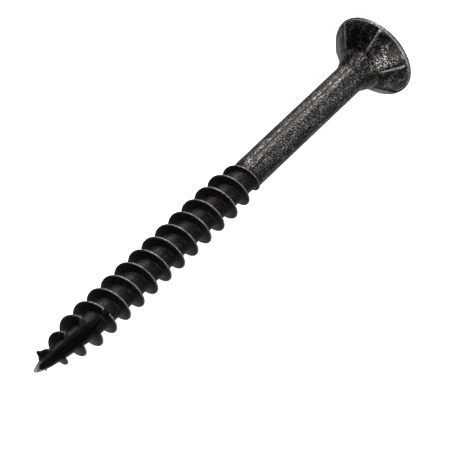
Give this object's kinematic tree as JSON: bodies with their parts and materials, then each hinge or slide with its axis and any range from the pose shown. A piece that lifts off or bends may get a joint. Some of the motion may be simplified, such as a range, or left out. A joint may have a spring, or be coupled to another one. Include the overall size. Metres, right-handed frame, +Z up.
{
  "type": "wood screw",
  "caption": "Countersunk wood screw with a ribbed head underside, smooth shank, coarse right-hand thread and fluted cutting point.",
  "frame": {"origin": "centre of the flat top of the head, on the screw's axis: the point that ends level with the surface of the wood", "axes": "X is the screw's axis, with +X out of the head and the tip at -X; +Z is up as the screw lies in the picture"},
  "size_m": [0.06, 0.0102, 0.0102],
  "materials": {
    "head_steel": "satin",
    "neck_steel": "satin",
    "shank_steel": "satin",
    "thread_steel": "satin",
    "point_steel": "satin"
  },
  "bodies": {
    "root": {"head": "head_steel", "neck": "neck_steel", "shank": "shank_steel", "thread": "thread_steel", "point": "point_steel"}
  },
  "joints": []
}
